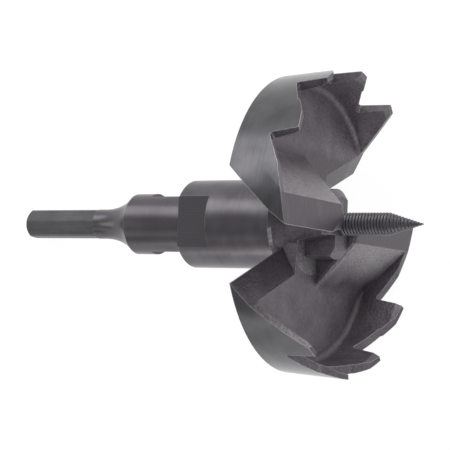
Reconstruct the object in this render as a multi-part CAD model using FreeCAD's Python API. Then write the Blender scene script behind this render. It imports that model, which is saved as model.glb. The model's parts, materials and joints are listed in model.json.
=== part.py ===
import FreeCAD, Part
import math
import os

from FreeCAD import Placement, Rotation, Vector

# Self-feed drill bit for rough boring in timber. Millimetres.
# The bit is built on its own axis, X, with the feed screw pointing to +X and x = 0
# at the tips of the saw teeth. Angles run about X from -Y towards +Z. The lip of the
# first wing runs out along -Y, and the second wing is the first turned half a turn.
# At the end the whole bit is laid down as it comes to rest, with +Z up and z = 0 below.

# Head and skirt
cutting_diameter = 117.475
skirt_depth = 24.9
skirt_rear_relief = 1.5
wall_at_tips = 3.2
wall_at_floor = 5.4
floor_depth = 18.5
floor_corner_radius = 2.5
tip_bevel_width = 1.5
tip_bevel_depth = 2.6

# Lip of a wing: offset ahead of the centre, then land, heel slope and rake faces
lip_clearance = 0.1
land_width = 11.4
land_fall = 2.1
heel_slope_deg = 42.0
heel_blend_at_hub = 4.0
heel_blend_at_skirt = 14.0
lip_face_depth = 6.5
lip_face_back = 4.7
rake_angle_deg = 47.8
lip_inner_end = 5.3
lip_end_radius = 2.7
lip_end_steps = 3
thinning_run_out = 14.6
thinning_rise = 7.6
thinning_depth = 4.2

# Saw teeth of a wing
tooth_count = 4
first_tooth_deg = 31.2
tooth_pitch_deg = 30.1
gullet_depth = 11.5
gullet_growth = 0.6
face_lean_deg = 1.4
gullet_radius = 0.9
flank_top_deg = 8.0
flank_top_fall = 1.2
flank_step_deg = 14.6
flank_step_fall = 4.7
flank_step_depth = 1.1
flank_step_width_deg = 0.7
lip_shoulder_deg = 16.3
lip_shoulder_fall = 4.8
tooth_cut_reach = 6.0

# Trailing end of a wing: a flat bevel across the web and a steeper one up the skirt
trail_line_deg = 20.9
trail_line_offset = 5.05
trail_web_slope_deg = 35.0
trail_skirt_slope_deg = 45.5

# Forged root that the trailing bevel leaves between a web and the hub
root_wall_deg = 187.3
root_wall_distance = 9.75

# Hub, collar and their bores
collar_diameter = 34.9
collar_rear = -69.8
collar_front = -27.5
collar_edge_radius = 0.8
collar_chamfer = 0.8
collar_flats = 28.6
collar_flat_length = 13.9
hub_diameter = 27.0
nose_front = -5.6
nose_chamfer_width = 2.8
nose_chamfer_depth = 2.0
nose_flat_distance = 5.0
nose_flat_at_front = 4.5
nose_flat_at_floor = 7.0
hub_groove_length = 5.0

# Feed screw and its set screw
feed_diameter = 8.8
feed_parallel_end = 14.3
feed_tip = 27.7
feed_tip_radius = 0.25
feed_rear_chamfer = 0.6
feed_bore_clearance = 0.1
feed_flat_depth = 0.9
feed_flat_length = 14.0
set_screw_diameter = 6.35
set_screw_length = 8.0
set_screw_position = -38.0
set_screw_clearance = 0.05
set_screw_socket = 3.175
set_screw_socket_depth = 3.2

# Arbor
hex_across_flats = 11.11
hex_roll_deg = 6.6
hex_length = 34.5
hex_end_chamfer = 1.2
arbor_rear = -150.5
neck_diameter = 12.2
flare_start = -112.5
shoulder_rear = -97.1
shoulder_diameter = 24.6
shoulder_edge_radius = 0.6
shoulder_flats = 22.2
shoulder_flat_length = 17.7
shoulder_flat_roll_deg = 85.7
spigot_diameter = 15.9
spigot_length = 17.0
spigot_chamfer = 1.2
spigot_clearance = 0.1
spigot_end_gap = 1.0

# Values that follow from the ones above
cutting_radius = cutting_diameter / 2
rear_radius = cutting_radius - skirt_rear_relief
inner_radius_at_tips = cutting_radius - wall_at_tips
inner_radius_at_floor = cutting_radius - wall_at_floor
collar_radius = collar_diameter / 2
hub_radius = hub_diameter / 2
feed_radius = feed_diameter / 2
feed_bore_radius = feed_radius + feed_bore_clearance
shoulder_radius = shoulder_diameter / 2
neck_radius = neck_diameter / 2
spigot_radius = spigot_diameter / 2
spigot_bore_radius = spigot_radius + spigot_clearance
spigot_end = collar_rear + spigot_length
spigot_bore_end = spigot_end + spigot_end_gap
lip_offset = feed_radius + lip_clearance

# Cutting shapes run this far past what they cut
overrun = 10.0
far = cutting_radius + overrun


def rounded_wire(points, radii):
    """Closed wire through the points, with a tangent arc at each corner that has a radius."""
    count = len(points)
    starts = []
    ends = []
    arcs = []
    for i, corner in enumerate(points):
        radius = radii.get(i, 0.0)
        to_last = (points[i - 1] - corner).normalize()
        to_next = (points[(i + 1) % count] - corner).normalize()
        if radius == 0.0:
            starts.append(corner)
            ends.append(corner)
            arcs.append(None)
            continue
        half = to_last.getAngle(to_next) / 2
        reach = radius / math.tan(half)
        bisector = (to_last + to_next).normalize()
        middle = corner + bisector * (radius / math.sin(half) - radius)
        starts.append(corner + to_last * reach)
        ends.append(corner + to_next * reach)
        arcs.append(Part.Arc(starts[i], middle, ends[i]).toShape())
    edges = []
    for i in range(count):
        if arcs[i] is not None:
            edges.append(arcs[i])
        edges.append(Part.LineSegment(ends[i], starts[(i + 1) % count]).toShape())
    return Part.Wire(edges)


def turned(profile, radii=None):
    """Solid of revolution about X from a closed list of (x, r) points."""
    points = [Vector(x, r, 0) for x, r in profile]
    face = Part.Face(rounded_wire(points, radii or {}))
    return face.revolve(Vector(0, 0, 0), Vector(1, 0, 0), 360)


def along_y(section, y_from, y_to, radii=None):
    """Prism along Y from a closed list of (z, x) points."""
    points = [Vector(x, y_from, z) for z, x in section]
    face = Part.Face(rounded_wire(points, radii or {}))
    return face.extrude(Vector(0, y_to - y_from, 0))


def half_turn(shape):
    other = shape.copy()
    other.rotate(Vector(0, 0, 0), Vector(1, 0, 0), 180)
    return other


def rolled(shape, degrees):
    """The shape turned about X in the sense in which the angles run."""
    other = shape.copy()
    other.rotate(Vector(0, 0, 0), Vector(1, 0, 0), -degrees)
    return other


def two_flats(across, x_from, x_to, radius):
    """The two pieces that a pair of flats facing -Y and +Y takes off a round bar."""
    size = (x_to - x_from, overrun, 2 * radius)
    near = Part.makeBox(*size, Vector(x_from, -across / 2 - overrun, -radius))
    return near.fuse(half_turn(near))


def cup():
    """Web and skirt as one dished ring, before it is cut into a wing."""
    floor_corner = 4
    profile = [
        (-skirt_depth, rear_radius),
        (0.0, cutting_radius),
        (0.0, inner_radius_at_tips + tip_bevel_width),
        (-tip_bevel_depth, inner_radius_at_tips),
        (-floor_depth, inner_radius_at_floor),
        (-floor_depth, feed_bore_radius),
        (-skirt_depth, feed_bore_radius),
    ]
    return turned(profile, {floor_corner: floor_corner_radius})


def envelope():
    """All that lies within the skirt's outside and in front of its rear rim."""
    return turned([
        (-skirt_depth, 0.0),
        (-skirt_depth, rear_radius),
        (0.0, cutting_radius),
        (overrun, cutting_radius),
        (overrun, 0.0),
    ])


def rake_line():
    """Points (z, x) of the rake side of a lip, from its edge to the rear of the skirt."""
    lip = (-lip_offset, 0.0)
    face_end = (lip[0] + lip_face_back, -lip_face_depth)
    run = (skirt_depth - lip_face_depth) / math.tan(math.radians(rake_angle_deg))
    return [lip, face_end, (face_end[0] + run, -skirt_depth)]


def heel_point():
    """Where the land of a lip ends, as (z, x)."""
    return (land_width - lip_offset, -land_fall)


def lip_section(y, blend_radius, drop=0.0):
    """Outline of the lip's plate in the plane at y, with its heel blended into the floor.

    The drop lowers the land and the slope behind it.
    """
    lip, face_end, rake_end = rake_line()
    lip = (lip[0], -drop)
    heel = (heel_point()[0], heel_point()[1] - drop)
    run = (floor_depth + heel[1]) / math.tan(math.radians(heel_slope_deg))
    foot = (heel[0] + run, -floor_depth)
    floor_end = (foot[0] + heel_blend_at_skirt, -floor_depth)
    back_end = (floor_end[0], -skirt_depth)
    section = [lip, heel, foot, floor_end, back_end, rake_end, face_end]
    points = [Vector(x, y, z) for z, x in section]
    return rounded_wire(points, {2: blend_radius})


def lip_plate():
    """The leading part of a wing, bent forward from the floor to carry the lip.

    Its inner end is rounded over by sections that drop along a quarter circle.
    """
    sections = []
    for i in range(lip_end_steps + 1):
        turn = math.pi / 2 * i / lip_end_steps
        y = -lip_inner_end - lip_end_radius * (1 - math.cos(turn))
        drop = lip_end_radius * (1 - math.sin(turn))
        sections.append(lip_section(y, heel_blend_at_hub, drop))
    sections.append(lip_section(-cutting_radius, heel_blend_at_skirt))
    plate = Part.makeLoft(sections, True, True)
    return plate.cut(thinning_cut()).common(envelope())


def thinning_cut():
    """The three-sided facet that thins the lip where it meets the feed screw."""
    out = Vector(0, -lip_inner_end - thinning_run_out, -lip_offset)
    back_fall = land_fall * thinning_rise / land_width
    back = Vector(-back_fall, -lip_inner_end, thinning_rise - lip_offset)
    down = Vector(-thinning_depth, -lip_inner_end, -lip_offset)
    normal = (back - out).cross(down - out).normalize()
    if normal.x < 0:
        normal = normal * -1
    middle = (out + back + down) / 3
    half = thinning_run_out
    blank = Part.makeBox(2 * half, 2 * half, half, Vector(-half, -half, 0))
    blank.Placement = Placement(middle, Rotation(Vector(0, 0, 1), normal))
    return blank


def lead_cut():
    """All that lies ahead of the rake faces of a wing, on the lip's side of the axis."""
    line = rake_line()
    behind = (line[2][0] + overrun / math.tan(math.radians(rake_angle_deg)), -skirt_depth - overrun)
    section = [(line[0][0], far)] + line + [behind, (-far, behind[1]), (-far, far)]
    return along_y(section, -far, -lip_inner_end)


def land_cut():
    """All that lies in front of the land, across plate and skirt."""
    lip = (-lip_offset, 0.0)
    heel = heel_point()
    section = [lip, heel, (heel[0], overrun), (lip[0] - overrun, overrun), (lip[0] - overrun, 0.0)]
    return along_y(section, -far, 0.0)


def root_wall():
    """Half space on the far side of the wall where the root of a wing ends."""
    beyond = Part.makeBox(4 * far, 4 * far, 4 * far, Vector(-2 * far, root_wall_distance, -2 * far))
    return rolled(beyond, root_wall_deg - 180)


def trail_cut():
    """All that lies behind the two slanting faces at the trailing end, beyond the root."""
    web_slope = math.tan(math.radians(trail_web_slope_deg))
    skirt_slope = math.tan(math.radians(trail_skirt_slope_deg))
    bend = (trail_line_offset + (skirt_depth - floor_depth) / web_slope, -floor_depth)
    back = (trail_line_offset - overrun / web_slope, -skirt_depth - overrun)
    front = (bend[0] + (floor_depth + overrun) / skirt_slope, overrun)
    section = [back, bend, front, (-far, front[1]), (-far, back[1])]
    cut = rolled(along_y(section, 0.0, 2 * far), -trail_line_deg)
    return cut.common(root_wall())


def opposite_half():
    """The half space that belongs to the other wing."""
    corner = Vector(-far, -2 * far, -2 * far)
    below = Part.makeBox(3 * far, 2 * far, 2 * far - lip_offset, corner)
    beyond = Part.makeBox(3 * far, 2 * far, 2 * far, Vector(-far, 0, -2 * far))
    return below.fuse(beyond)


def radial_cut(tip_deg, outline):
    """Cut through the skirt, square to the radius at a tooth face.

    The outline is a list of (angle behind the tooth tip, x), and its second point is
    the bottom of the gullet.
    """
    start = tooth_cut_reach - inner_radius_at_floor
    points = []
    for degrees, x in outline:
        across = cutting_radius * math.sin(math.radians(degrees))
        points.append(Vector(x, start, across))
    face = Part.Face(rounded_wire(points, {1: gullet_radius}))
    cut = face.extrude(Vector(0, -far - start, 0))
    return rolled(cut, tip_deg)


def flank_cut(number):
    """The space between a tooth face and the flank of the tooth ahead of it."""
    tip_deg = first_tooth_deg + number * tooth_pitch_deg
    depth = gullet_depth + number * gullet_growth
    step_deg = flank_step_deg + flank_step_width_deg
    step_x = -flank_step_fall - flank_step_depth
    outline = [
        (0.0, 0.0),
        (-face_lean_deg, -depth),
        (step_deg - tooth_pitch_deg, step_x),
        (flank_step_deg - tooth_pitch_deg, -flank_step_fall),
        (flank_top_deg - tooth_pitch_deg, -flank_top_fall),
        (-tooth_pitch_deg, 0.0),
        (-tooth_pitch_deg, overrun),
        (0.0, overrun),
    ]
    return radial_cut(tip_deg, outline)


def lip_flank_cuts():
    """The space between the first tooth and the heel of the lip, as two cuts."""
    heel = heel_point()
    shoulder = (cutting_radius * math.sin(math.radians(lip_shoulder_deg)), -lip_shoulder_fall)
    fall = (shoulder[1] - heel[1]) / (shoulder[0] - heel[0])
    past = (shoulder[0] + tooth_cut_reach, shoulder[1] + fall * tooth_cut_reach)
    section = [heel, shoulder, past, (past[0], overrun), (heel[0], overrun)]
    shoulder_cut = along_y(section, -far, tooth_cut_reach - inner_radius_at_floor)

    shoulder_deg = lip_shoulder_deg - first_tooth_deg
    rise = (gullet_depth - lip_shoulder_fall) / (-face_lean_deg - shoulder_deg)
    outline = [
        (0.0, 0.0),
        (-face_lean_deg, -gullet_depth),
        (-first_tooth_deg, rise * lip_shoulder_deg - lip_shoulder_fall),
        (-first_tooth_deg, overrun),
        (0.0, overrun),
    ]
    return [shoulder_cut, radial_cut(first_tooth_deg, outline)]


def wing():
    body = cup()
    for cut in (opposite_half(), lead_cut(), trail_cut()):
        body = body.cut(cut)
    body = body.fuse(lip_plate())
    body = body.cut(land_cut())
    for cut in lip_flank_cuts():
        body = body.cut(cut)
    for number in range(1, tooth_count + 1):
        body = body.cut(flank_cut(number))
    return body


def hub():
    """Collar, core and nose, turned as one, with the flats of the nose."""
    rear_edge = 1
    body = turned([
        (collar_rear, 0.0),
        (collar_rear, collar_radius),
        (collar_front - collar_chamfer, collar_radius),
        (collar_front, collar_radius - collar_chamfer),
        (collar_front + hub_groove_length, hub_radius),
        (nose_front - nose_chamfer_depth, hub_radius),
        (nose_front, hub_radius - nose_chamfer_width),
        (nose_front, 0.0),
    ], {rear_edge: collar_edge_radius})
    section = [
        (-nose_flat_at_floor, -floor_depth),
        (-nose_flat_at_front, nose_front),
        (-nose_flat_at_front, 0.0),
        (-collar_radius, 0.0),
        (-collar_radius, -floor_depth),
    ]
    flat = along_y(section, -collar_radius, -nose_flat_distance)
    return body.cut(flat.fuse(half_turn(flat)))


def bores():
    """Bore for the arbor, bore for the feed screw, and the set screw hole."""
    axis = Vector(1, 0, 0)
    rear = Vector(collar_rear, 0, 0)
    side = Vector(set_screw_position, 0, 0)
    set_screw_radius = set_screw_diameter / 2 + set_screw_clearance
    return [
        Part.makeCylinder(spigot_bore_radius, spigot_bore_end - collar_rear, rear, axis),
        Part.makeCylinder(feed_bore_radius, -collar_rear, rear, axis),
        Part.makeCylinder(set_screw_radius, collar_radius, side, Vector(0, 1, 0)),
    ]


def cutter_head():
    one = wing()
    head = hub().fuse([one, half_turn(one)]).removeSplitter()
    head = head.cut(two_flats(collar_flats, collar_rear, collar_rear + collar_flat_length, collar_radius))
    for bore in bores():
        head = head.cut(bore)
    return head


def feed_screw():
    rear = spigot_bore_end
    body = turned([
        (rear, 0.0),
        (rear, feed_radius - feed_rear_chamfer),
        (rear + feed_rear_chamfer, feed_radius),
        (feed_parallel_end, feed_radius),
        (feed_tip, feed_tip_radius),
        (feed_tip, 0.0),
    ])
    size = (feed_flat_length, feed_radius, 2 * feed_radius)
    start = Vector(set_screw_position - feed_flat_length / 2, feed_radius - feed_flat_depth, -feed_radius)
    return body.cut(Part.makeBox(*size, start))


def set_screw():
    start = feed_radius - feed_flat_depth
    radius = set_screw_diameter / 2
    base = Vector(set_screw_position, start, 0)
    body = Part.makeCylinder(radius, set_screw_length, base, Vector(0, 1, 0))
    socket = Part.makeCylinder(
        set_screw_socket / math.sqrt(3),
        set_screw_socket_depth,
        Vector(set_screw_position, start + set_screw_length - set_screw_socket_depth, 0),
        Vector(0, 1, 0),
    )
    return body.cut(socket)


def arbor():
    flare_rise = shoulder_radius - shoulder_edge_radius - neck_radius
    flare_run = shoulder_rear - flare_start
    flare_radius = (flare_run ** 2 + flare_rise ** 2) / (2 * flare_rise)
    half = math.asin(flare_run / flare_radius) / 2
    middle = Vector(
        flare_start + flare_radius * math.sin(half),
        neck_radius + flare_radius * (1 - math.cos(half)),
        0,
    )
    start = Vector(flare_start, neck_radius, 0)
    end = Vector(shoulder_rear, shoulder_radius - shoulder_edge_radius, 0)
    points = [
        end,
        Vector(shoulder_rear + shoulder_edge_radius, shoulder_radius, 0),
        Vector(collar_rear, shoulder_radius, 0),
        Vector(collar_rear, spigot_radius, 0),
        Vector(spigot_end - spigot_chamfer, spigot_radius, 0),
        Vector(spigot_end, spigot_radius - spigot_chamfer, 0),
        Vector(spigot_end, 0, 0),
        Vector(arbor_rear, 0, 0),
        Vector(arbor_rear, neck_radius - hex_end_chamfer, 0),
        Vector(arbor_rear + hex_end_chamfer, neck_radius, 0),
        start,
    ]
    edges = [Part.LineSegment(a, b).toShape() for a, b in zip(points, points[1:])]
    edges.append(Part.Arc(start, middle, end).toShape())
    body = Part.Face(Part.Wire(edges)).revolve(Vector(0, 0, 0), Vector(1, 0, 0), 360)
    body = body.cut(hex_flats())
    flats = two_flats(shoulder_flats, collar_rear - shoulder_flat_length, collar_rear, shoulder_radius)
    return body.cut(rolled(flats, shoulder_flat_roll_deg))


def hex_flats():
    """The ring that six flats take off the round bar of the shank."""
    corner = hex_across_flats / math.sqrt(3)
    angles = [math.radians(60 * i) for i in range(6)]
    points = [Vector(arbor_rear, corner * math.cos(a), corner * math.sin(a)) for a in angles]
    inside = Part.Face(Part.makePolygon(points + points[:1])).extrude(Vector(hex_length, 0, 0))
    bar = Part.makeCylinder(neck_diameter, hex_length, Vector(arbor_rear, 0, 0), Vector(1, 0, 0))
    return rolled(bar.cut(inside), hex_roll_deg)


def resting_placement():
    """Lays the bit on the rear corners of two neighbouring wings and on the shank's end."""
    lead = rake_corner_deg()
    trail = trail_corner_deg()
    gap_middle = (trail + lead + 180) / 2
    half_gap = math.radians((lead + 180 - trail) / 2)
    corner_depth = rear_radius * math.cos(half_gap)
    end_radius = neck_radius - hex_end_chamfer
    lean = math.atan2(corner_depth - end_radius, -skirt_depth - arbor_rear)
    roll = Rotation(Vector(1, 0, 0), gap_middle - 180)
    stand = Rotation(Vector(1, 0, 0), -90)
    tip = Rotation(Vector(0, 1, 0), -math.degrees(lean))
    return Placement(Vector(0, 0, 0), tip.multiply(stand).multiply(roll))


def rake_corner_deg():
    """Angle of the corner where a rake face meets the rear rim of the skirt."""
    return math.degrees(math.asin(rake_line()[2][0] / rear_radius))


def trail_corner_deg():
    """Angle of the corner where the trailing face meets the rear rim of the skirt."""
    return 180 - trail_line_deg - math.degrees(math.asin(trail_line_offset / rear_radius))


def main():
    os.makedirs("parts", exist_ok=True)
    pieces = {
        "cutter_head": cutter_head(),
        "arbor": arbor(),
        "feed_screw": feed_screw(),
        "set_screw": set_screw(),
    }
    placement = resting_placement()
    for piece in pieces.values():
        piece.Placement = placement
    box = Part.makeCompound(list(pieces.values())).optimalBoundingBox(False)
    to_origin = Vector(-box.Center.x, -box.Center.y, -box.ZMin)
    for name, piece in pieces.items():
        piece.translate(to_origin)
        piece.exportStep(f"parts/{name}.step")


main()
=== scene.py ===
# Looks of a self-feed drill bit: forged, turned and ground steel under a dark grey oxide.
import json
import math

import bmesh
import bpy
from mathutils import Matrix, Vector


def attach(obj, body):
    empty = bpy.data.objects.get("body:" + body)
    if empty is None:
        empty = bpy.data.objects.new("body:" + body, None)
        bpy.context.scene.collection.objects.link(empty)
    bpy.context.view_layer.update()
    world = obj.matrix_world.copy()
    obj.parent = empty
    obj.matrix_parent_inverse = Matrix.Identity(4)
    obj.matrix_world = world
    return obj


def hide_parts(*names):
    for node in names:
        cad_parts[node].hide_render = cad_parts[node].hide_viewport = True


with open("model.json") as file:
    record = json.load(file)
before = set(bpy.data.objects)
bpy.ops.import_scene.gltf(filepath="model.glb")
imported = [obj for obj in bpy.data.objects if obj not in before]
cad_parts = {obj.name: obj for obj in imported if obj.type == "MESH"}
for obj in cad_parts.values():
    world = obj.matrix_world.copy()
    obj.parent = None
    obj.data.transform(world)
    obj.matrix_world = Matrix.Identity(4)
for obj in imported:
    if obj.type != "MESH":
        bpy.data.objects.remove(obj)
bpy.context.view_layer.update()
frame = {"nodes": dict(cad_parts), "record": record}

# Lengths of the bit are in millimetres on its own axis, with x = 0 at the tips of the teeth.
MM = 0.001
arbor_rear = -150.5
collar_rear = -69.8
spigot_bore_end = -51.8
collar_flat_length = 13.9
collar_front = -27.5
hex_length = 34.5
land_reach = 2.5
nose_chamfer_rear = -7.7
web_floor = -18.5
trail_line_deg = 20.9
cutting_radius = 58.74

# Limits of the head's surfaces, a little wide of each surface
collar_limit = collar_front + 0.2
collar_edge_rear = collar_limit - 1.2
# Below this height the collar's front chamfer gets a painted highlight
painted_highlight_collar_edge_top = -2.5
on_web = web_floor + 0.5
near_web = web_floor + 1.0
root_radius = 19.5
nose_chamfer_inner = 10.6
nose_chamfer_outer = 13.6
first_web_bottom = 18.0
first_web_radius = 45.0
heel_line = 24.0
heel_shade_end = 31.0

# How squarely each surface faces its own direction, as a cosine
collar_flat_facing = 0.99
skirt_facing = 0.95
land_facing = 0.978
root_facing = 0.9
heel_facing_forward = 0.70
heel_facing_aside = 0.62
bevel_facing_forward = 0.68
bevel_facing_aside = 0.70
nose_chamfer_facing = 0.9

# Tool mark on the first wing's web
tool_mark_y = (-17.9, -16.9)
tool_mark_z = (29.4, 33.0)

# Feed screw
feed_radius = 4.4
feed_chamfer = 0.6
feed_parallel_end = 14.3
feed_tip = 27.7
feed_tip_radius = 0.25
feed_flat_from = -45.0
feed_flat_to = -31.0
feed_flat_depth = 0.9
thread_start = -5.0
thread_pitch = 1.27
thread_depth = 0.4
thread_crest = 0.12
thread_flank = 0.44
tip_thread_share = 0.25
steps_per_turn = 64

# Height of the feed screw's side where it has no flat, far above its radius
no_flat = 99.0

# Set screw
set_screw_x = -38.0
set_screw_radius = 3.175
set_screw_length = 8.0
set_screw_socket = 3.175
set_screw_socket_depth = 3.2
set_screw_point_depth = 0.5
set_screw_sides = 24

# Points of a mesh that lie closer than this are one point
weld_distance = 0.002

# Sizes of the marks in millimetres along x, y and z. Real lathe rings, milling lines, grinding lines
# and thread marks lie about 0.1 mm apart, too fine to show in the picture, where one pixel is about
# 0.4 mm, so they are drawn as coarse as this. The grain and the clouds have their real size.
lathe_rings = (0.588, 16.7, 16.7)
collar_mill_lines = (8.33, 2.0, 0.769)
shank_mill_lines = (16.7, 0.833, 0.833)
grinding_lines = (10.0, 0.667, 8.33)
thread_marks = (0.5, 2.5, 2.5)
forged_grain = (1.11, 1.11, 1.11)
rough_cut_grain = (1.0, 1.0, 1.0)
head_clouds = (8.33, 8.33, 8.33)
arbor_clouds = (11.1, 11.1, 11.1)

# Noise lies mostly between these two values, which become the bottom and the top of a mark
noise_low = 0.3
noise_high = 0.7

# Depth of the marks in millimetres
forged_depth = 0.128
turned_depth = 0.0096
skirt_depth = 0.008
milled_depth = 0.048
ground_depth = 0.056
rough_cut_depth = 0.16
fine_depth = 0.02

# Wear and painted highlight of the outer edges: their rounding and the width of a dark corner in
# millimetres, the cosines of a slight and of a full turn of the surface, and how open a slight and a full
# outer edge are
edge_rounding = 0.4
edge_corner = 1.2
edge_turn_slight = 0.99
edge_turn_full = 0.9
edge_open_slight = 0.8
edge_open_full = 0.97
edge_samples = 6

# Forged steel: dull, with much matt oxide on it, and its edges are the most worn and carry the most
# painted highlight
forged_roughness = 0.42
forged_metallic = 0.4
forged_edge_wear_and_highlight = 0.85

# Turned steel: smoother and more metallic than forged steel, and less purple
turned_roughness = 0.27
turned_metallic = 0.95
turned_colours = ("#4b4a4d", "#676669")

# Camera, as the photograph was taken: distance from a point of the axis, and its side angle
camera_distance = 600.0
camera_target = -56.48
camera_azimuth_deg = 29.274
camera_drop = 0.34
focal_pixels = 1511.5
photo_pixels = 450
sensor_width = 36.0

# Lamps and table, in metres
strip_width = 0.5
panel_width = 0.9
lamp_distance = 1.5
lamp_aim = Vector((0.0, 0.0, 0.05))
table_half = 40.0


def bit_frame():
    """Matrix from the bit's own millimetres to the row frame's metres, from the record's mounts."""
    mounts = {mount["name"]: mount for mount in frame["record"]["mounts"]}
    shank = mounts["hex_shank"]
    x_axis = -Vector(shank["axis"]).normalized()
    y_axis = -Vector(mounts["collar_flat_upper"]["axis"])
    y_axis = (y_axis - x_axis * y_axis.dot(x_axis)).normalized()
    z_axis = x_axis.cross(y_axis)
    origin = Vector(shank["pos_m"]) - x_axis * arbor_rear * MM
    turn = Matrix((x_axis, y_axis, z_axis)).transposed().to_4x4()
    return Matrix.Translation(origin) @ turn @ Matrix.Scale(MM, 4)


from_bit = bit_frame()
to_bit = from_bit.inverted()


def linear(hex_colour):
    """RGBA in linear light from an sRGB hex value."""
    channels = [int(hex_colour[i:i + 2], 16) / 255 for i in (1, 3, 5)]
    return [c / 12.92 if c <= 0.04045 else ((c + 0.055) / 1.055) ** 2.4 for c in channels] + [1.0]


def add(tree, kind, inputs=None, **settings):
    """A node of that kind with its settings; inputs give each socket a value or an output to follow."""
    node = tree.nodes.new(kind)
    for name, value in settings.items():
        setattr(node, name, value)
    for socket, value in (inputs or {}).items():
        if isinstance(value, bpy.types.NodeSocket):
            tree.links.new(value, node.inputs[socket])
        else:
            node.inputs[socket].default_value = value
    return node


def new_material(name):
    material = bpy.data.materials.new(name)
    material.use_nodes = True
    material.node_tree.nodes.clear()
    return material, material.node_tree


def bit_coordinates(tree):
    """Place on the bit in millimetres, whatever piece the point is on."""
    place = add(tree, "ShaderNodeTexCoord")
    return add(tree, "ShaderNodeMapping", {
        "Vector": place.outputs["Object"],
        "Location": to_bit.to_translation(),
        "Rotation": to_bit.to_euler("XYZ"),
        "Scale": (1 / MM, 1 / MM, 1 / MM),
    }).outputs["Vector"]


def bit_facing(tree):
    """The way the surface faces, in the bit's own directions."""
    facing = add(tree, "ShaderNodeNewGeometry")
    return add(tree, "ShaderNodeMapping", {
        "Vector": facing.outputs["True Normal"],
        "Rotation": to_bit.to_euler("XYZ"),
    }, vector_type="VECTOR").outputs["Vector"]


def streaks(tree, place, size, detail=3.0, contrast=1.0):
    """Marks as heights about 0.5, contrast apart; size gives their millimetres along x, y and z."""
    drawn = add(tree, "ShaderNodeVectorMath", {0: place, 1: size}, operation="DIVIDE")
    noise = add(tree, "ShaderNodeTexNoise", {
        "Vector": drawn.outputs["Vector"], "Scale": 1.0, "Detail": detail,
    })
    return add(tree, "ShaderNodeMapRange", {
        "Value": noise.outputs["Fac"], "From Min": noise_low, "From Max": noise_high,
        "To Min": 0.5 - contrast / 2, "To Max": 0.5 + contrast / 2,
    }).outputs["Result"]


def by_zone(tree, zones, value, changes):
    """The value everywhere, but in each named zone the value given for it."""
    for zone, change in changes.items():
        value = add(tree, "ShaderNodeMix", {
            "Factor": zones[zone], "A": value, "B": change,
        }).outputs["Result"]
    return value


def raised(tree, zones, value, lifts):
    """The value with something added to it in each named zone."""
    for zone, lift in lifts.items():
        value = add(tree, "ShaderNodeMath", {
            0: zones[zone], 1: lift, 2: value,
        }, operation="MULTIPLY_ADD").outputs["Value"]
    return value


def worn_and_highlit_edges(tree, rounded):
    """Outer edges of the steel, where the oxide has rubbed thin and a painted highlight stands for the
    edge catching light; inner corners stay dark.
    """
    flat = add(tree, "ShaderNodeNewGeometry")
    turn = add(tree, "ShaderNodeVectorMath", {
        0: flat.outputs["True Normal"], 1: rounded,
    }, operation="DOT_PRODUCT")
    edge = add(tree, "ShaderNodeMapRange", {
        "Value": turn.outputs["Value"], "From Min": edge_turn_slight, "From Max": edge_turn_full,
    })
    open_air = add(tree, "ShaderNodeAmbientOcclusion", {
        "Distance": edge_corner * MM,
    }, samples=edge_samples)
    outer = add(tree, "ShaderNodeMapRange", {
        "Value": open_air.outputs["AO"], "From Min": edge_open_slight, "From Max": edge_open_full,
    })
    return add(tree, "ShaderNodeMath", {
        0: edge.outputs["Result"], 1: outer.outputs["Result"],
    }, operation="MULTIPLY").outputs["Value"]


def oxide_steel(name, colours, marks, edge_light):
    """Steel under black oxide: dark and near neutral, part metal and part matt oxide, a little cloudy.

    marks gives each place its look: the height of the marks in millimetres, the tone between the two
    colours, the share of turned steel, of bare metal and painted highlight, and of outer edges that are
    worn and carry a painted highlight, the roughness and the metal.
    """
    material, tree = new_material(name)
    look = marks(tree, bit_coordinates(tree))
    colour = add(tree, "ShaderNodeMix", {
        "Factor": look["tone"], "A": linear(colours[0]), "B": linear(colours[1]),
    }, data_type="RGBA")
    if "turned" in look:
        turned = add(tree, "ShaderNodeMix", {
            "Factor": look["tone"], "A": linear(turned_colours[0]), "B": linear(turned_colours[1]),
        }, data_type="RGBA")
        colour = add(tree, "ShaderNodeMix", {
            "Factor": look["turned"], "A": colour.outputs["Result"], "B": turned.outputs["Result"],
        }, data_type="RGBA")
    rounded = add(tree, "ShaderNodeBevel", {
        "Radius": edge_rounding * MM,
    }, samples=edge_samples).outputs["Normal"]
    # Outer edges lighten towards edge_light: part worn oxide, part painted highlight
    light = add(tree, "ShaderNodeMath", {
        0: worn_and_highlit_edges(tree, rounded), 1: look["edge_wear_and_highlight"],
    }, operation="MULTIPLY").outputs["Value"]
    if "bare_metal_and_highlight" in look:
        light = add(tree, "ShaderNodeMath", {
            0: light, 1: look["bare_metal_and_highlight"],
        }, operation="MAXIMUM").outputs["Value"]
    worn_and_highlit = add(tree, "ShaderNodeMix", {
        "Factor": light, "A": colour.outputs["Result"], "B": linear(edge_light),
    }, data_type="RGBA")
    bump = add(tree, "ShaderNodeBump", {
        "Height": look["height"], "Normal": rounded, "Strength": 1.0, "Distance": MM,
    })
    surface = add(tree, "ShaderNodeBsdfPrincipled", {
        "Base Color": worn_and_highlit.outputs["Result"], "Metallic": look["metal"], "Roughness": look["roughness"],
        "Normal": bump.outputs["Normal"],
    })
    add(tree, "ShaderNodeOutputMaterial", {"Surface": surface.outputs["BSDF"]})
    return material


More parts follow.
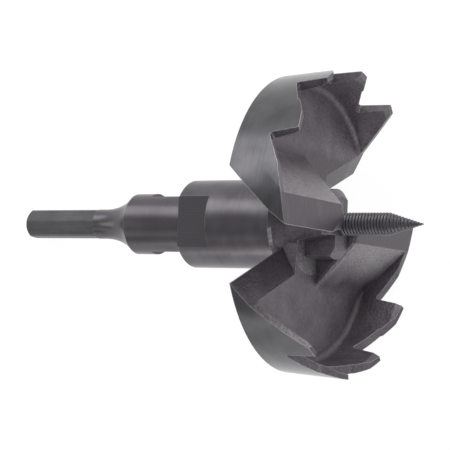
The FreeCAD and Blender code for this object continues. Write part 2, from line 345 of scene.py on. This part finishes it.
def head_zones(tree, place, facing):
    """Where each kind of surface of the cutter head lies, as masks."""
    at = add(tree, "ShaderNodeSeparateXYZ", {"Vector": place})
    faces = add(tree, "ShaderNodeSeparateXYZ", {"Vector": facing})
    cross = add(tree, "ShaderNodeVectorMath", {0: place, 1: (0.0, 1.0, 1.0)}, operation="MULTIPLY")
    radius = add(tree, "ShaderNodeVectorMath", {0: cross.outputs["Vector"]}, operation="LENGTH")
    outward = add(tree, "ShaderNodeVectorMath", {0: place, 1: facing}, operation="DOT_PRODUCT")
    sideways = add(tree, "ShaderNodeMath", {0: faces.outputs["Y"]}, operation="ABSOLUTE")
    trail = math.radians(trail_line_deg)
    trailing = add(tree, "ShaderNodeVectorMath", {
        0: facing, 1: (0.0, math.sin(trail), -math.cos(trail)),
    }, operation="DOT_PRODUCT")
    trailing = add(tree, "ShaderNodeMath", {0: trailing.outputs["Value"]}, operation="ABSOLUTE")
    heel = add(tree, "ShaderNodeMath", {0: faces.outputs["Z"]}, operation="ABSOLUTE")
    x, y, z = at.outputs["X"], at.outputs["Y"], at.outputs["Z"]
    forward = faces.outputs["X"]
    limits = {
        "collar": [(x, "LESS_THAN", collar_limit)],
        "collar_front_edge": [
            (x, "GREATER_THAN", collar_edge_rear),
            (x, "LESS_THAN", collar_limit),
        ],
        # Lower part of the collar's front chamfer, lightened as a painted highlight
        "painted_highlight_collar_edge": [
            (x, "GREATER_THAN", collar_edge_rear),
            (x, "LESS_THAN", collar_limit),
            (z, "LESS_THAN", painted_highlight_collar_edge_top),
        ],
        "collar_flat": [
            (x, "LESS_THAN", collar_rear + collar_flat_length),
            (sideways.outputs["Value"], "GREATER_THAN", collar_flat_facing),
        ],
        "skirt": [(outward.outputs["Value"], "GREATER_THAN", skirt_facing * cutting_radius)],
        "land": [
            (x, "GREATER_THAN", -land_reach),
            (forward, "GREATER_THAN", land_facing),
        ],
        "heel_slope": [
            (forward, "GREATER_THAN", heel_facing_forward),
            (heel.outputs["Value"], "GREATER_THAN", heel_facing_aside),
        ],
        "trailing_bevel": [
            (forward, "GREATER_THAN", bevel_facing_forward),
            (trailing.outputs["Value"], "GREATER_THAN", bevel_facing_aside),
        ],
        "root": [
            (radius.outputs["Value"], "LESS_THAN", root_radius),
            (x, "LESS_THAN", on_web),
            (forward, "GREATER_THAN", root_facing),
        ],
        "first_web": [
            (x, "LESS_THAN", near_web),
            (z, "GREATER_THAN", first_web_bottom),
            (radius.outputs["Value"], "LESS_THAN", first_web_radius),
        ],
        "tool_mark": [
            (x, "LESS_THAN", on_web),
            (y, "GREATER_THAN", tool_mark_y[0]),
            (y, "LESS_THAN", tool_mark_y[1]),
            (z, "GREATER_THAN", tool_mark_z[0]),
            (z, "LESS_THAN", tool_mark_z[1]),
        ],
        "nose_chamfer": [
            (radius.outputs["Value"], "GREATER_THAN", nose_chamfer_inner),
            (radius.outputs["Value"], "LESS_THAN", nose_chamfer_outer),
            (x, "GREATER_THAN", nose_chamfer_rear),
            (forward, "LESS_THAN", nose_chamfer_facing),
        ],
    }
    zones = {}
    for zone, tests in limits.items():
        for value, operation, limit in tests:
            mask = add(tree, "ShaderNodeMath", {0: value, 1: limit}, operation=operation).outputs["Value"]
            if zone in zones:
                mask = add(tree, "ShaderNodeMath", {
                    0: zones[zone], 1: mask,
                }, operation="MULTIPLY").outputs["Value"]
            zones[zone] = mask
    # The first wing's web gets painted shade by its heel slope, and each heel slope is light by its land
    for soft, zone, value, none_at, full_at in (
        ("shaded_web", "first_web", z, heel_shade_end, heel_line),
        ("heel_foot", "heel_slope", x, near_web, -2.0 * land_reach),
    ):
        fade = add(tree, "ShaderNodeMapRange", {
            "Value": value, "From Min": none_at, "From Max": full_at,
        }, interpolation_type="SMOOTHSTEP")
        zones[soft] = add(tree, "ShaderNodeMath", {
            0: zones[zone], 1: fade.outputs["Result"],
        }, operation="MULTIPLY").outputs["Value"]
    return zones


def forged_and_ground(tree, place):
    """The cutter head: turned collar and rims, milled flats, ground lands, forged webs."""
    zones = head_zones(tree, place, bit_facing(tree))
    forge = streaks(tree, place, forged_grain, detail=8.0)
    lathe = streaks(tree, place, lathe_rings, contrast=0.5)
    mill = streaks(tree, place, collar_mill_lines, detail=5.0)
    grind = streaks(tree, place, grinding_lines)
    rough_cut = streaks(tree, place, rough_cut_grain, detail=8.0)
    pattern = by_zone(tree, zones, forge, {
        "collar": lathe, "skirt": lathe, "collar_flat": mill, "land": grind,
        "trailing_bevel": rough_cut, "root": rough_cut, "nose_chamfer": rough_cut,
    })
    depth = by_zone(tree, zones, forged_depth, {
        "collar": turned_depth, "skirt": skirt_depth, "collar_flat": milled_depth, "land": ground_depth,
        "trailing_bevel": rough_cut_depth, "root": rough_cut_depth, "nose_chamfer": rough_cut_depth,
    })
    height = add(tree, "ShaderNodeMath", {0: pattern, 1: depth}, operation="MULTIPLY")
    clouded = add(tree, "ShaderNodeMix", {
        "Factor": 0.5, "A": streaks(tree, place, head_clouds), "B": pattern,
    })
    tone = raised(tree, zones, clouded.outputs["Result"], {
        "collar": 0.1, "skirt": -0.1, "collar_flat": -1.2, "land": -0.6, "trailing_bevel": -0.5,
        "heel_slope": -0.1, "heel_foot": 0.5, "root": 0.3, "shaded_web": -0.8, "tool_mark": -3.0,
    })
    share = by_zone(tree, zones, 0.0, {
        "trailing_bevel": 0.5, "root": 0.45, "nose_chamfer": 0.15, "heel_foot": 0.5,
        # Bare rough-cut metal, and a painted highlight in full on the collar's front chamfer below the
        # axis
        "painted_highlight_collar_edge": 1.0,
    })
    bare_metal_and_highlight = add(tree, "ShaderNodeMath", {0: rough_cut, 1: share}, operation="MULTIPLY")
    return {
        "height": height.outputs["Value"],
        "tone": tone,
        "turned": by_zone(tree, zones, zones["skirt"], {"collar": 0.6}),
        "bare_metal_and_highlight": bare_metal_and_highlight.outputs["Value"],
        "edge_wear_and_highlight": by_zone(tree, zones, forged_edge_wear_and_highlight, {"collar": 0.15}),
        "roughness": by_zone(tree, zones, forged_roughness, {
            "skirt": 0.2, "collar": turned_roughness, "collar_flat": 0.6, "collar_front_edge": 0.5,
        }),
        "metal": by_zone(tree, zones, forged_metallic, {
            "skirt": 0.92, "collar": turned_metallic, "collar_flat": 0.6, "collar_front_edge": 0.2,
        }),
    }


def turned_and_milled(tree, place):
    """The arbor: rings left by the lathe, and lines along the shank's milled flats."""
    at = add(tree, "ShaderNodeSeparateXYZ", {"Vector": place})
    shank = add(tree, "ShaderNodeMath", {
        0: at.outputs["X"], 1: arbor_rear + hex_length,
    }, operation="LESS_THAN")
    zones = {"shank": shank.outputs["Value"]}
    lathe = streaks(tree, place, lathe_rings, contrast=0.5)
    mill = streaks(tree, place, shank_mill_lines, contrast=0.6)
    pattern = by_zone(tree, zones, lathe, {"shank": mill})
    height = add(tree, "ShaderNodeMath", {0: pattern, 1: fine_depth}, operation="MULTIPLY")
    clouded = add(tree, "ShaderNodeMix", {
        "Factor": 0.5, "A": streaks(tree, place, arbor_clouds), "B": pattern,
    })
    return {
        "height": height.outputs["Value"],
        "tone": raised(tree, zones, clouded.outputs["Result"], {"shank": -0.2}),
        "turned": zones["shank"],
        "edge_wear_and_highlight": 0.3,
        "roughness": by_zone(tree, zones, turned_roughness, {"shank": 0.4}),
        "metal": turned_metallic,
    }


def thread_cut(tree, place):
    """The screws: fine even marks drawn out along the thread."""
    pattern = streaks(tree, place, thread_marks)
    height = add(tree, "ShaderNodeMath", {0: pattern, 1: fine_depth}, operation="MULTIPLY")
    return {
        "height": height.outputs["Value"],
        "tone": pattern,
        "edge_wear_and_highlight": 0.5,
        "roughness": 0.38,
        "metal": 0.55,
    }


def mesh_object(name, points, faces, material):
    """A mesh in the bit's millimetres, placed in the row frame and riding with the bit."""
    mesh = bpy.data.meshes.new(name)
    mesh.from_pydata([from_bit @ Vector(p) for p in points], [], faces)
    shell = bmesh.new()
    shell.from_mesh(mesh)
    bmesh.ops.remove_doubles(shell, verts=shell.verts, dist=weld_distance * MM)
    bmesh.ops.recalc_face_normals(shell, faces=shell.faces)
    shell.to_mesh(mesh)
    shell.free()
    piece = bpy.data.objects.new(name, mesh)
    bpy.context.collection.objects.link(piece)
    mesh.materials.append(material)
    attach(piece, "root")
    return piece


def feed_outer_radius(x):
    """Radius over the crests: a parallel screw that runs out into a cone."""
    if x <= feed_parallel_end:
        return feed_radius
    share = (x - feed_parallel_end) / (feed_tip - feed_parallel_end)
    return feed_radius + (feed_tip_radius - feed_radius) * share


def feed_screw():
    """Plain shank with its flat, then one thread cut over the parallel end and the cone."""
    profile = [
        (0.0, 0.0), (thread_crest, 0.0),
        (thread_crest + thread_flank, 1.0), (1.0 - thread_flank, 1.0),
    ]
    flat = feed_radius - feed_flat_depth
    shank = [
        (spigot_bore_end, feed_radius - feed_chamfer, no_flat),
        (spigot_bore_end + feed_chamfer, feed_radius, no_flat),
        (feed_flat_from, feed_radius, no_flat), (feed_flat_from, feed_radius, flat),
        (feed_flat_to, feed_radius, flat), (feed_flat_to, feed_radius, no_flat),
        (thread_start, feed_radius, no_flat),
    ]
    turns = math.ceil((feed_tip - thread_start) / thread_pitch) + 1
    points = []
    rows = len(shank) + (turns + 1) * len(profile)
    for column in range(steps_per_turn + 1):
        angle = 2 * math.pi * column / steps_per_turn
        along = list(shank)
        for turn in range(-1, turns):
            for start, depth in profile:
                x = thread_start + (turn + start + column / steps_per_turn) * thread_pitch
                x = min(max(x, thread_start), feed_tip)
                outer = feed_outer_radius(x)
                run_in = min(1.0, (x - thread_start) / thread_pitch)
                run_out = min(1.0, outer / feed_radius + tip_thread_share)
                r = outer - depth * thread_depth * run_in * run_out
                along.append((x, max(r, feed_tip_radius / 2), no_flat))
        for x, r, top in along:
            points.append((x, min(r * math.cos(angle), top), r * math.sin(angle)))
    faces = []
    for column in range(steps_per_turn):
        for row in range(rows - 1):
            a = column * rows + row
            faces.append((a, a + 1, a + 1 + rows, a + rows))
    rear = [column * rows for column in range(steps_per_turn)]
    front = [column * rows + rows - 1 for column in range(steps_per_turn)]
    faces += [tuple(rear), tuple(front)]
    return points, faces


def set_screw():
    """Socket set screw with a hexagonal recess at its outer end."""
    sides = set_screw_sides
    base = feed_radius - feed_flat_depth
    top = base + set_screw_length
    corner = set_screw_socket / math.sqrt(3)
    rings = [
        (base, set_screw_radius - set_screw_point_depth),
        (base + set_screw_point_depth, set_screw_radius),
        (top - set_screw_point_depth, set_screw_radius),
        (top, set_screw_radius - set_screw_point_depth),
    ]
    points = []
    for y, radius in rings:
        for i in range(sides):
            angle = 2 * math.pi * i / sides
            points.append((set_screw_x + radius * math.cos(angle), y, radius * math.sin(angle)))
    flat = corner * math.cos(math.pi / 6)
    for y in (top, top - set_screw_socket_depth):
        for i in range(sides):
            angle = 2 * math.pi * i / sides
            away = (angle + math.pi / 6) % (math.pi / 3) - math.pi / 6
            radius = flat / math.cos(math.pi / 6 - abs(away))
            points.append((set_screw_x + radius * math.cos(angle), y, radius * math.sin(angle)))
    faces = [tuple(range(sides))]
    for ring in range(5):
        for i in range(sides):
            j = (i + 1) % sides
            a = ring * sides
            faces.append((a + i, a + j, a + sides + j, a + sides + i))
    faces.append(tuple(range(5 * sides, 6 * sides)))
    return points, faces


# Dull plum grey with forged grain, smoother turned rims and pale edges, part worn oxide and part painted
# highlight
head_steel = oxide_steel("forged_oxide_steel", ("#48424a", "#6d686f"), forged_and_ground, "#b2afb2")

# Smooth mid grey that shows the lamps as long streaks, with faint rings and a duller hexagon
arbor_steel = oxide_steel("turned_oxide_steel", ("#504d51", "#646166"), turned_and_milled, "#8d8a8e")

# Darker satin grey, with a lighter line along the thread's crest, part worn oxide and part painted
# highlight
thread_steel = oxide_steel("thread_cut_oxide_steel", ("#46444a", "#5c5a60"), thread_cut, "#8d8a8e")

# Nearly black satin
socket_steel = oxide_steel("black_set_screw_steel", ("#2c2c2e", "#3a3a3c"), thread_cut, "#5a585a")

for node, material in (("cutter_head", head_steel), ("arbor", arbor_steel)):
    slots = frame["nodes"][node].data.materials
    slots.clear()
    slots.append(material)

points, faces = feed_screw()
threaded = mesh_object("threaded_feed_screw", points, faces, thread_steel)
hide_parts("feed_screw")

points, faces = set_screw()
socketed = mesh_object("socket_set_screw", points, faces, socket_steel)
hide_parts("set_screw")


def floor():
    """Plain white table that fills the view and shows in the steel, with a soft shadow kept on it."""
    # To the eye and in the steel it glows white, and only a faint shadow shows on it
    material, tree = new_material("white_matt_table")
    path = add(tree, "ShaderNodeLightPath")
    seen = add(tree, "ShaderNodeMath", {
        0: path.outputs["Is Camera Ray"], 1: path.outputs["Is Glossy Ray"],
    }, operation="MAXIMUM")
    seen = add(tree, "ShaderNodeMath", {
        0: seen.outputs["Value"], 1: path.outputs["Is Transmission Ray"],
    }, operation="MAXIMUM")
    plain = add(tree, "ShaderNodeBsdfDiffuse", {"Color": linear("#e6e6e6")})
    shaded = add(tree, "ShaderNodeBsdfDiffuse", {"Color": linear("#747474")})
    glow = add(tree, "ShaderNodeEmission", {"Color": linear("#ffffff"), "Strength": 0.9})
    bright = add(tree, "ShaderNodeAddShader", {0: shaded.outputs["BSDF"], 1: glow.outputs["Emission"]})
    both = add(tree, "ShaderNodeMixShader", {
        "Fac": seen.outputs["Value"], 1: plain.outputs["BSDF"], 2: bright.outputs["Shader"],
    })
    add(tree, "ShaderNodeOutputMaterial", {"Surface": both.outputs["Shader"]})
    half = table_half
    corners = [(-half, -half, 0), (half, -half, 0), (half, half, 0), (-half, half, 0)]
    mesh = bpy.data.meshes.new("table")
    mesh.from_pydata(corners, [], [(0, 1, 2, 3)])
    mesh.materials.append(material)
    table = bpy.data.objects.new("table", mesh)
    bpy.context.collection.objects.link(table)


def area_lamp(name, place, aim, width, height, watts, colour):
    data = bpy.data.lights.new(name, "AREA")
    data.color = linear(colour)[:3]
    data.shape = "RECTANGLE"
    data.size, data.size_y = width, height
    data.energy = watts
    lamp = bpy.data.objects.new(name, data)
    lamp.location = place
    lamp.rotation_euler = (Vector(aim) - Vector(place)).to_track_quat("-Z", "Y").to_euler()
    bpy.context.collection.objects.link(lamp)


def lights():
    """Soft strips and panels stand in a ring round the table, in an even grey room."""
    world = bpy.data.worlds.new("grey_studio")
    world.use_nodes = True
    world.node_tree.nodes["Background"].inputs["Color"].default_value = linear("#adadad")
    bpy.context.scene.world = world
    for name, azimuth_deg, height_deg, width, watts, colour in (
        ("back_right_strip", 55, 12, strip_width, 3.5, "#fbfbf2"),
        ("back_strip", 75, 12, strip_width, 6.0, "#fafbf0"),
        ("back_left_strip", 115, 12, strip_width, 0.8, "#ffffff"),
        ("soft_box", 135, 12, strip_width, 3.2, "#ffffff"),
        ("left_strip", 155, 12, strip_width, 0.6, "#ffffff"),
        ("far_left_strip", 180, 12, strip_width, 2.5, "#fafbf0"),
        ("high_back_strip", 80, 42, strip_width, 4.0, "#ffffff"),
        ("high_left_strip", 140, 42, strip_width, 1.5, "#ffffff"),
        ("front_right_panel", -50, 12, panel_width, 6.2, "#ffffff"),
        ("front_strip", -110, 15, strip_width, 5.0, "#fffdf8"),
        ("front_left_strip", -150, 12, strip_width, 1.0, "#ffffff"),
        ("right_panel", 0, 12, panel_width, 1.2, "#ffffff"),
        ("top_panel", 180, 75, panel_width, 0.8, "#ffffff"),
    ):
        azimuth = math.radians(azimuth_deg)
        height = math.radians(height_deg)
        level = Vector((math.cos(azimuth), math.sin(azimuth), 0.0))
        out = level * math.cos(height) + Vector((0.0, 0.0, math.sin(height)))
        area_lamp(name, lamp_aim + lamp_distance * out, lamp_aim, width, panel_width, watts, colour)


def camera():
    """Looks down on the bit from the side and the distance of the photograph."""
    x_axis = from_bit.to_3x3().col[0].normalized()
    up = Vector((0.0, 1.0, 0.0))
    into = up.cross(x_axis)
    azimuth = math.radians(camera_azimuth_deg)
    look = into * math.cos(azimuth) - x_axis * math.sin(azimuth)
    place = from_bit @ Vector((camera_target, 0.0, 0.0))
    place -= look * camera_distance * MM + up * camera_drop * MM
    data = bpy.data.cameras.new("camera")
    data.sensor_width = sensor_width
    data.lens = focal_pixels * sensor_width / photo_pixels
    data.clip_start = 0.05
    data.clip_end = 20.0
    view = bpy.data.objects.new("camera", data)
    view.location = place
    right = look.cross(up)
    view.rotation_euler = Matrix((right, up, -look)).transposed().to_euler()
    bpy.context.collection.objects.link(view)
    bpy.context.scene.camera = view


floor()
lights()
camera()
bpy.context.scene.view_settings.view_transform = "Standard"
